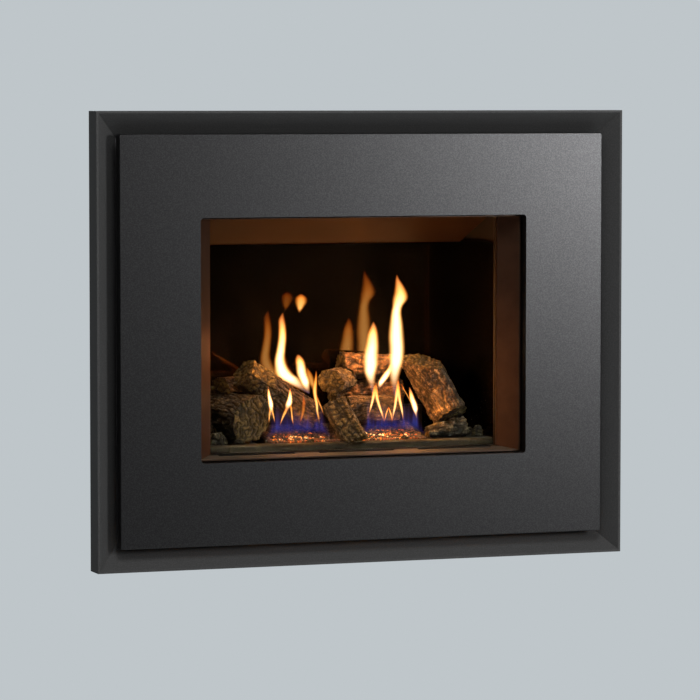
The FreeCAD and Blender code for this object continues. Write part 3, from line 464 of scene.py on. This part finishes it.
# Gas that burns with soot: white-hot in its core, amber at its edge and tip, violet at its foot
yellow_flame = burning_gas(
    "sooting_yellow_flame", 4.0,
    along=[(0.0, "6a62d0"), (0.12, "e8b890"), (0.3, "fff4e4"), (0.6, "ffecc8"), (0.8, "ffc47c"),
           (1.0, "e87028")],
    across=[(0.0, "e08030"), (0.3, "f4b060"), (0.6, "ffe0a8"), (1.0, "fff4e0")],
    thin=[(0.1, "ffb050"), (0.6, "ffdca0"), (1.0, "ffffff")],
    fade_along=[(0.0, "000000"), (0.1, "6a6a6a"), (0.28, "ffffff"), (0.75, "f0f0f0"), (1.0, "202020")],
    fade_across=[(0.0, "000000"), (0.2, "343434"), (0.5, "787878"), (0.8, "a8a8a8"), (1.0, "b8b8b8")])
# Gas mixed with air before it burns: a low violet-blue veil
blue_flame = burning_gas(
    "premixed_blue_flame", 1.25,
    along=[(0.0, "5a50a8"), (0.3, "3a4cb8"), (0.6, "6a5090"), (1.0, "b07c90")],
    across=[(0.0, "8a7ab0"), (1.0, "ffffff")],
    thin=[(0.0, "ffffff"), (1.0, "ffffff")],
    fade_along=[(0.0, "000000"), (0.14, "303030"), (0.34, "b0b0b0"), (0.58, "808080"), (1.0, "000000")],
    fade_across=[(0.0, "404040"), (1.0, "f0f0f0")])


def place_piece(name, mesh, body, material):
    piece = bpy.data.objects.new(name, mesh)
    bpy.context.scene.collection.objects.link(piece)
    mesh.materials.clear()
    mesh.materials.append(material)
    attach(piece, body)
    return piece


def finish_cad_nodes():
    for entry in frame["record"]["subparts"]:
        piece = frame["nodes"][entry["node"]]
        finish = finishes[entry["material_slot"]]
        if entry["node"].startswith("rim_"):
            finish = rim_finish
        if entry["node"] == "window_frame":
            finish = window_finish
        if not piece.material_slots:
            piece.data.materials.append(finish)
        for holder in piece.material_slots:
            holder.material = finish


# Screws that hold the case's folded sheets to its back

def screw_seats():
    """Where the case's screws sit and the way each one faces."""
    low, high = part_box("case_back")
    left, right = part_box("case_left_side")[1][0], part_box("case_right_side")[0][0]
    sheet = high[1] - low[1]
    rear = high[1] - screw_inset
    middle_x, half_x = (left + right) / 2, (right - left) / 2
    middle_z, half_z = (low[2] + high[2]) / 2, (high[2] - low[2]) / 2
    for share in screw_shares:
        x = middle_x + share * half_x
        z = middle_z + share * half_z
        yield Vector((left - sheet, rear, z)), Vector((-1, 0, 0))
        yield Vector((right + sheet, rear, z)), Vector((1, 0, 0))
        yield Vector((x, rear, high[2] + sheet)), Vector((0, 0, 1))
        yield Vector((x, rear, low[2] - sheet)), Vector((0, 0, -1))


def drive_screws():
    build = bmesh.new()
    turns = [2 * math.pi * side / screw_sides for side in range(screw_sides)]
    for place, way in screw_seats():
        turn = Vector((0, 0, 1)).rotation_difference(way)
        rings = []
        for radius, height in screw_profile:
            spots = [Vector((radius * math.cos(t), radius * math.sin(t), height)) for t in turns]
            rings.append([build.verts.new(place + turn @ spot) for spot in spots])
        for lower, upper in zip(rings, rings[1:]):
            for side in range(screw_sides):
                following = (side + 1) % screw_sides
                build.faces.new((lower[side], lower[following], upper[following], upper[side]))
        build.faces.new(rings[-1])
    mesh = bpy.data.meshes.new("case_screws")
    build.to_mesh(mesh)
    build.free()
    place_piece("case_screws", mesh, "fire", finishes["bright_steel"])


def mark_knob():
    """A white line on the knob's grip, so that its turn shows."""
    low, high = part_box("control_knob")
    middle = (low[0] + high[0]) / 2
    centre = (low[2] + high[2]) / 2
    build = bmesh.new()
    bmesh.ops.create_cube(build, size=1.0)
    for vertex in build.verts:
        across = middle + 2 * mark_half * vertex.co.x
        out = low[1] + mark_thickness * (vertex.co.y - 0.25)
        up = centre + mark_start + (mark_end - mark_start) * (vertex.co.z + 0.5)
        vertex.co = (across, out, up)
    mesh = bpy.data.meshes.new("knob_mark")
    build.to_mesh(mesh)
    build.free()
    place_piece("knob_mark", mesh, "knob", ink_finish)


# Logs: the cast solids given bark plates, cracks and fibrous cut faces

def remeshed(node):
    """A fine even copy of a solid's mesh."""
    carrier = bpy.data.objects.new("carrier", frame["nodes"][node].data.copy())
    bpy.context.scene.collection.objects.link(carrier)
    change = carrier.modifiers.new("even", "REMESH")
    change.mode = "VOXEL"
    change.voxel_size = bark_voxel
    evaluated = carrier.evaluated_get(bpy.context.evaluated_depsgraph_get())
    mesh = bpy.data.meshes.new_from_object(evaluated)
    bpy.data.objects.remove(carrier)
    return mesh


def groove(value, width):
    """1 in the middle of a crack, 0 outside it."""
    return max(0.0, 1.0 - abs(value) / width)


def clamped(value):
    return min(1.0, max(0.0, value))


def cut_share(node, vertex, axis, along, highest):
    """How far a point belongs to a cut end, a split face or a stripped patch, from 0 to 1."""
    share = clamped((abs(vertex.normal.dot(axis)) - 0.6) / 0.2)
    front = Vector((0, -1, 0))
    out = (front - axis * front.dot(axis)).normalized()
    if node in split_logs:
        ragged = 0.3 * noise.noise(vertex.co / split_edge)
        share = max(share, clamped((vertex.normal.dot(out) - 0.75 + ragged) / 0.25))
    if node in sawn_logs:
        share = max(share, clamped((vertex.normal.z - 0.8) / 0.1))
    if node in stripped_logs:
        near_end = clamped((along - highest + stripped_length) / stripped_edge)
        share = max(share, near_end * clamped((vertex.normal.dot(out) + 0.1) / 0.3))
    return share


def log_axes(points):
    """A log's long direction, turned upwards, and the two directions across it."""
    spread = np.linalg.svd(points - points.mean(axis=0), full_matrices=False)[2]
    axis = Vector(spread[0])
    if axis.z < 0:
        axis = -axis
    across = Vector(spread[1])
    return axis, across, axis.cross(across)


def carve_bark(node, mesh, seed):
    """Presses bark plates, cracks and sawn fibres into a mesh, and stores what each point is, with painted
    shade in its crack layer.
    """
    points = np.array([v.co[:] for v in mesh.vertices])
    middle = Vector(points.mean(axis=0))
    axis, across, up = log_axes(points)
    highest = max((v.co - middle).dot(axis) for v in mesh.vertices)
    stored = {"crack": [], "cut": [], "moss": [mossy_logs.get(node, 0.0)] * len(mesh.vertices)}
    moves = []
    shift = Vector((seed * 3.1, seed * 1.7, seed * 0.9))
    for vertex in mesh.vertices:
        offset = vertex.co - middle
        along = offset.dot(axis)
        around = Vector((offset.dot(across), offset.dot(up), 0))
        cut = cut_share(node, vertex, axis, along, highest)
        # Cracks between the bark's plates and across them, and the fibres and drying cracks of a cut face
        lengthwise = Vector((0, 0, along / bark_plate_length))
        plate = noise.noise(around / bark_ridge + lengthwise + shift)
        cross = noise.noise(around * (0.45 / bark_ridge) + lengthwise * 3 - shift)
        bark_crack = max(groove(plate, plate_crack), 0.8 * groove(cross, cross_crack))
        fibre = groove(noise.noise(offset / fibre_spacing + shift), fibre_crack)
        drying = groove(noise.noise(around.normalized() * 2.3 + shift), drying_crack)
        drying = drying * clamped(around.length / pith_radius)
        crack = cut * max(0.95 * fibre, drying) + (1 - cut) * bark_crack
        # Painted shade: bark that faces down or back is drawn dark, towards the cracks' black
        darkened = clamped(max(-1.6 * vertex.normal.z - 0.2, 2.2 * vertex.normal.y - 0.3)) * (1 - cut)
        rough = 0.5 + 0.5 * noise.noise(offset / bark_lump - shift)
        depth = bark_depth * (0.7 * crack + 0.45 * rough * (1 - cut))
        moves.append(vertex.co - vertex.normal * depth)
        # The crack layer also carries the painted shade, so it is drawn black like the cracks
        stored["crack"].append(max(crack, 0.95 * darkened))
        stored["cut"].append(cut)
    for vertex, place in zip(mesh.vertices, moves):
        vertex.co = place
    for name, values in stored.items():
        mesh.attributes.new(name, "FLOAT", "POINT").data.foreach_set("value", values)
    mesh.shade_smooth()


def lay_logs():
    logs = [n for n in frame["nodes"] if n.startswith("log_")] + ["loose_bark"]
    for seed, node in enumerate(sorted(logs)):
        mesh = remeshed(node)
        carve_bark(node, mesh, seed + 1)
        piece = place_piece(node + "_carved", mesh, "fire", finishes["fibre_log"])
        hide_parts(node)


# Loose granules over the burner and spilled on the kerb, hottest in two patches at the front

def heat_at(x, y):
    """How hot the bed is at a place, from 0 to 1."""
    near = max(
        math.exp(-((x - patch_x) / hot_half_width) ** 4 - ((y - patch_y) / hot_half_depth) ** 2)
        for patch_x, patch_y in hot_patches)
    return near * clamped(0.75 + 1.4 * noise.noise(Vector((x, y, 0)) / hot_mottle))


def scatter_embers():
    dice = random.Random(granule_seed)
    low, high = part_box("ember_bed")
    bed_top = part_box("fuel_bed_sides")[1][2]
    front_top = bed_top + front_rise
    build = bmesh.new()
    heat_layer = build.verts.layers.float.new("glow")
    for _ in range(granule_count):
        x = dice.uniform(low[0] + granule_size, high[0] - granule_size)
        share = dice.random() ** 1.6
        y = low[1] - spill + share * (high[1] - low[1] + spill - granule_size)
        climb = (y - low[1]) / (high[1] - low[1])
        z = bed_top + granule_size / 3 if climb < 0 else front_top + climb * (high[2] - front_top)
        place = Vector((x, y, z))
        heat = heat_at(x, y) * dice.choice(granule_heats)
        radius = granule_size / 2 * dice.uniform(0.6, 1.15)
        made = bmesh.ops.create_icosphere(build, subdivisions=1, radius=radius)
        stretch = Vector((dice.uniform(0.7, 1.3), dice.uniform(0.7, 1.3), dice.uniform(0.6, 0.9)))
        for vertex in made["verts"]:
            lump = 1 + 0.35 * noise.noise(vertex.co / granule_lump + place * 900)
            vertex.co = Vector(a * b for a, b in zip(vertex.co, stretch)) * lump + place
            vertex[heat_layer] = heat
    mesh = bpy.data.meshes.new("granules")
    build.to_mesh(mesh)
    build.free()
    place_piece("ember_granules", mesh, "fire", ember_finish)


# Yellow flames: depth, density and a line of (across, up, width) from foot to tip, in millimetres

flame_lines = {
    "tall_right": (84, 1.0, [
        (93, -104, 5), (91, -86, 11), (90, -73, 13), (91, -59, 17), (93, -44, 21), (94, -27, 22),
        (93, -8, 22), (93, 11, 19), (93, 27, 15), (95, 37, 15), (99, 47, 21), (100, 56, 19),
        (98, 67, 13), (95, 77, 6), (94, 84, 1)
    ]),
    "tall_right_left_leg": (54, 0.7, [
        (75, -133, 1), (77, -122, 2), (80, -109, 4), (82, -96, 5), (84, -83, 6), (85, -69, 2)
    ]),
    "tall_right_right_leg": (54, 0.7, [
        (93, -132, 1), (92, -122, 2), (90, -111, 4), (87, -98, 5), (85, -84, 6), (85, -71, 2)
    ]),
    "middle_right": (100, 1.0, [
        (62, -93, 4), (60, -77, 11), (58, -63, 17), (59, -49, 22), (59, -36, 22), (61, -21, 19),
        (62, -5, 15), (63, 6, 9), (63, 14, 1)
    ]),
    "middle_right_left_leg": (54, 0.7, [
        (39, -120, 1), (42, -109, 3), (45, -98, 4), (47, -88, 6), (48, -76, 2)
    ]),
    "middle_right_right_leg": (54, 0.7, [
        (63, -133, 1), (60, -121, 3), (56, -110, 4), (52, -97, 5), (50, -85, 6), (50, -73, 2)
    ]),
    "joining": (92, 1.0, [
        (69, -86, 2), (72, -77, 9), (79, -67, 12), (86, -56, 8), (89, -46, 2)
    ]),
    "fork_left": (52, 0.5, [
        (62, -133, 1), (65, -121, 2), (67, -115, 2), (69, -110, 1)
    ]),
    "fork_right": (52, 0.5, [
        (75, -132, 1), (73, -121, 2), (71, -115, 2), (69, -109, 1)
    ]),
    "front_right": (52, 1.0, [
        (114, -129, 1), (112, -120, 4), (111, -113, 8), (109, -106, 9), (106, -98, 8), (104, -89, 5),
        (102, -81, 1)
    ]),
    "thin_right": (56, 0.25, [
        (108, -110, 1), (101, -95, 2), (95, -85, 2), (90, -75, 1)
    ]),
    "tall_left": (120, 1.0, [
        (-32, -92, 3), (-41, -85, 12), (-52, -77, 22), (-62, -69, 28), (-70, -62, 25), (-75, -52, 19),
        (-77, -40, 15), (-75, -25, 13), (-73, -9, 12), (-73, 6, 11), (-74, 19, 9), (-72, 29, 1)
    ]),
    "low_left": (112, 1.0, [
        (-34, -92, 3), (-38, -82, 10), (-41, -72, 14), (-45, -62, 15), (-47, -50, 14), (-49, -40, 12),
        (-51, -33, 4)
    ]),
    "pale_left": (108, 0.25, [
        (-27, -90, 3), (-31, -75, 9), (-35, -63, 9), (-39, -52, 1)
    ]),
    "thin_centre": (50, 0.6, [
        (-40, -133, 1), (-41, -123, 3), (-43, -113, 3), (-44, -102, 4), (-46, -92, 5), (-47, -81, 6),
        (-46, -71, 5), (-45, -60, 3), (-45, -53, 1)
    ]),
    "thin_centre_leg": (52, 0.3, [
        (-32, -120, 1), (-36, -108, 2), (-41, -97, 3), (-44, -87, 1)
    ]),
    "front_left": (45, 1.0, [
        (-116, -117, 3), (-116, -106, 6), (-117, -97, 7), (-119, -89, 5), (-120, -81, 3),
        (-121, -72, 1)
    ]),
    "front_left_left_leg": (45, 0.45, [
        (-120, -128, 1), (-119, -119, 2), (-118, -111, 3), (-116, -101, 1)
    ]),
    "front_left_right_leg": (46, 0.45, [
        (-110, -128, 1), (-112, -118, 2), (-114, -110, 3), (-116, -101, 1)
    ]),
    "front_middle": (45, 1.0, [
        (-93, -111, 4), (-90, -103, 9), (-88, -97, 9), (-87, -90, 6), (-87, -84, 4), (-87, -77, 1)
    ]),
    "front_middle_left_leg": (45, 0.45, [
        (-103, -133, 1), (-100, -124, 2), (-97, -117, 4), (-93, -109, 5), (-89, -99, 2)
    ]),
    "front_middle_right_leg": (46, 0.45, [
        (-81, -133, 1), (-83, -124, 2), (-84, -115, 2), (-85, -106, 3), (-87, -96, 1)
    ]),
    "inner": (50, 0.12, [
        (-70, -130, 1), (-68, -123, 3), (-65, -112, 5), (-64, -99, 5), (-65, -87, 1)
    ]),
    "loose": (122, 0.42, [
        (-46, 27, 1), (-45, 32, 6), (-44, 38, 12), (-43, 44, 17), (-43, 51, 15), (-43, 56, 3)
    ]),
}


def along_line(points, share):
    """A smooth point on a line of points, at a share of the way from its foot to its tip."""
    last = len(points) - 1
    place = share * last
    index = min(int(place), last - 1)
    rest = place - index
    nearby = [Vector(points[min(max(i, 0), last)]) for i in range(index - 1, index + 3)]
    before, start, end, after = nearby
    pull_in = (end - before) / 2
    pull_out = (after - start) / 2
    return ((2 * rest ** 3 - 3 * rest ** 2 + 1) * start + (rest ** 3 - 2 * rest ** 2 + rest) * pull_in
            + (3 * rest ** 2 - 2 * rest ** 3) * end + (rest ** 3 - rest ** 2) * pull_out)


def gas_sheet(name, rows, closed, density, material):
    """A skin through rows of (place, rise, core) points, set alight."""
    build = bmesh.new()
    layers = [build.verts.layers.float.new(kind) for kind in ("rise", "core", "cover")]
    made = []
    for row in rows:
        made.append([])
        for place, rise, core in row:
            vertex = build.verts.new(place)
            for layer, value in zip(layers, (rise, core, density)):
                vertex[layer] = value
            made[-1].append(vertex)
    count = len(made[0])
    for lower, upper in zip(made, made[1:]):
        for side in range(count if closed else count - 1):
            following = (side + 1) % count
            build.faces.new((lower[side], lower[following], upper[following], upper[side]))
    mesh = bpy.data.meshes.new(name)
    build.to_mesh(mesh)
    build.free()
    mesh.shade_smooth()
    return place_piece(name, mesh, "fire", material)


def yellow_rows(depth, points):
    """Flattened rings along a flame's line, thickest and hottest in their middle."""
    levels = flame_steps * len(points)
    rows = []
    for level in range(levels + 1):
        across, up, width = along_line(points, level / levels) * MM
        half = max(flame_thinnest, flame_half_width * width)
        row = []
        for side in range(flame_sides):
            turn = 2 * math.pi * side / flame_sides
            x = across + math.cos(turn) * half
            y = depth * MM + math.sin(turn) * half * flame_flatness
            place = Vector((x, y, up))
            row.append((place, level / levels, 1 - abs(math.cos(turn)) ** 1.5))
        rows.append(row)
    return rows


def blue_rows(left, right, depth, seed):
    """A low wavering curtain of gas that rises out of the granules."""
    rows = []
    for level in range(blue_levels + 1):
        rise = level / blue_levels
        row = []
        for column in range(blue_columns + 1):
            share = column / blue_columns
            x = left + (right - left) * share
            tongue = noise.noise(Vector((x / blue_tongue, seed, 0)))
            ripple = noise.noise(Vector((x / blue_ripple, seed, 5)))
            lick = tongue + 0.5 * ripple
            ends = min(1.0, 8 * share, 8 * (1 - share))
            tall = (blue_height + blue_lick * lick) * ends
            sway = 2 * noise.noise(Vector((x / blue_sway, rise * 2, seed)))
            place = Vector((x + sway, depth + 2 * lick, blue_foot + tall * rise)) * MM
            row.append((place, rise, clamped(0.55 + lick) * ends))
        rows.append(row)
    return rows


def light_fire():
    for name, (depth, density, points) in flame_lines.items():
        gas_sheet("flame_" + name, yellow_rows(depth, points), True, density, yellow_flame)
    for name, (left, right) in blue_spans.items():
        for number, depth in enumerate(blue_depths):
            rows = blue_rows(left, right, depth, number + 1)
            gas_sheet(f"blue_flame_{name}_{number}", rows, False, blue_density, blue_flame)


# Studio: floor, backdrop colour, camera and lamps

def studio_floor():
    made, tree, shader = new_material("pale_floor", Roughness=0.8)
    # Matt painted boards: an even pale grey with a faint mottle
    tone = grain(tree, floor_mottle, 3.0)
    tint(tree, shader, tone.outputs["Fac"], [(0.3, floor_colour), (0.7, floor_pale_colour)])
    # The camera sees the floor nearly as pale as the backdrop, and it still takes the object's shadow
    shader.inputs["Emission Color"].default_value = linear(floor_colour)
    camera_ray = add(tree, "LightPath").outputs["Is Camera Ray"]
    seen = add(tree, "Math", {0: camera_ray, 1: floor_lift}, operation="MULTIPLY")
    tree.links.new(seen.outputs[0], shader.inputs["Emission Strength"])
    mesh = bpy.data.meshes.new("floor")
    edges = ((-1, -1), (1, -1), (1, 1), (-1, 1))
    corners = [(x * floor_half, y * floor_half, floor_level) for x, y in edges]
    mesh.from_pydata(corners, [], [(0, 1, 2, 3)])
    mesh.materials.append(made)
    floor = bpy.data.objects.new("floor", mesh)
    bpy.context.scene.collection.objects.link(floor)


def studio_world():
    """A pale backdrop behind the object and a dim studio in front of it; soft grey light all round."""
    world = bpy.data.worlds.new("studio")
    bpy.context.scene.world = world
    world.use_nodes = True
    tree = world.node_tree
    tree.nodes.clear()
    path = add(tree, "LightPath")
    glossy, through = path.outputs["Is Glossy Ray"], path.outputs["Is Transmission Ray"]
    mirrored = add(tree, "Math", {0: glossy, 1: through}, operation="MAXIMUM")
    towards = add(tree, "SeparateXYZ", {"Vector": add(tree, "TexCoord").outputs["Generated"]})
    behind = add(tree, "MapRange", {"Value": towards.outputs["Y"], "From Min": 0.2, "From Max": 0.9})
    dim, pale = linear(dim_studio_colour), linear(backdrop_colour)
    seen = add(tree, "MixRGB", {"Fac": behind.outputs["Result"], "Color1": dim, "Color2": pale})
    glow = add(tree, "Background", {"Color": linear("ffffff"), "Strength": light_all_round})
    reflected = add(tree, "Background", {"Color": seen.outputs["Color"], "Strength": mirrored_strength})
    plain = add(tree, "Background", {"Color": pale, "Strength": 1.0})
    softened = add(tree, "MixShader", {0: mirrored.outputs[0], 1: glow.outputs[0], 2: reflected.outputs[0]})
    camera_ray = path.outputs["Is Camera Ray"]
    final = add(tree, "MixShader", {0: camera_ray, 1: softened.outputs[0], 2: plain.outputs[0]})
    add(tree, "OutputWorld", {"Surface": final.outputs[0]})


def lamp(name, kind, place, power, colour, aim=None, **settings):
    data = bpy.data.lights.new(name, kind)
    data.energy = power
    data.color = linear(colour)[:3]
    for setting, value in settings.items():
        setattr(data, setting, value)
    made = bpy.data.objects.new(name, data)
    bpy.context.scene.collection.objects.link(made)
    made.location = place
    if aim:
        made.rotation_euler = (Vector(aim) - Vector(place)).to_track_quat("-Z", "Y").to_euler()
    return made


def studio_lamps():
    for name, (place, power, aim, size) in softboxes.items():
        lamp("softbox_" + name, "AREA", place, power, "ffffff", aim=aim, size=size)
    for number, (place, power) in enumerate(fire_lights):
        made = lamp(f"firelight_{number}", "POINT", Vector(place) * MM, power, fire_colour,
                    shadow_soft_size=fire_light_size)
        made.visible_camera = False
        made.visible_glossy = False
        made.visible_transmission = False


def set_camera():
    data = bpy.data.cameras.new("camera")
    data.lens = camera_lens
    data.sensor_width = camera_sensor
    data.clip_end = camera_reach
    camera = bpy.data.objects.new("camera", data)
    bpy.context.scene.collection.objects.link(camera)
    camera.location = camera_place
    camera.rotation_euler = (math.radians(90 - camera_dip), 0, math.radians(-camera_turn))
    bpy.context.scene.camera = camera


finish_cad_nodes()
drive_screws()
mark_knob()
lay_logs()
scatter_embers()
light_fire()
studio_floor()
studio_world()
studio_lamps()
set_camera()
bpy.context.scene.view_settings.view_transform = "Standard"
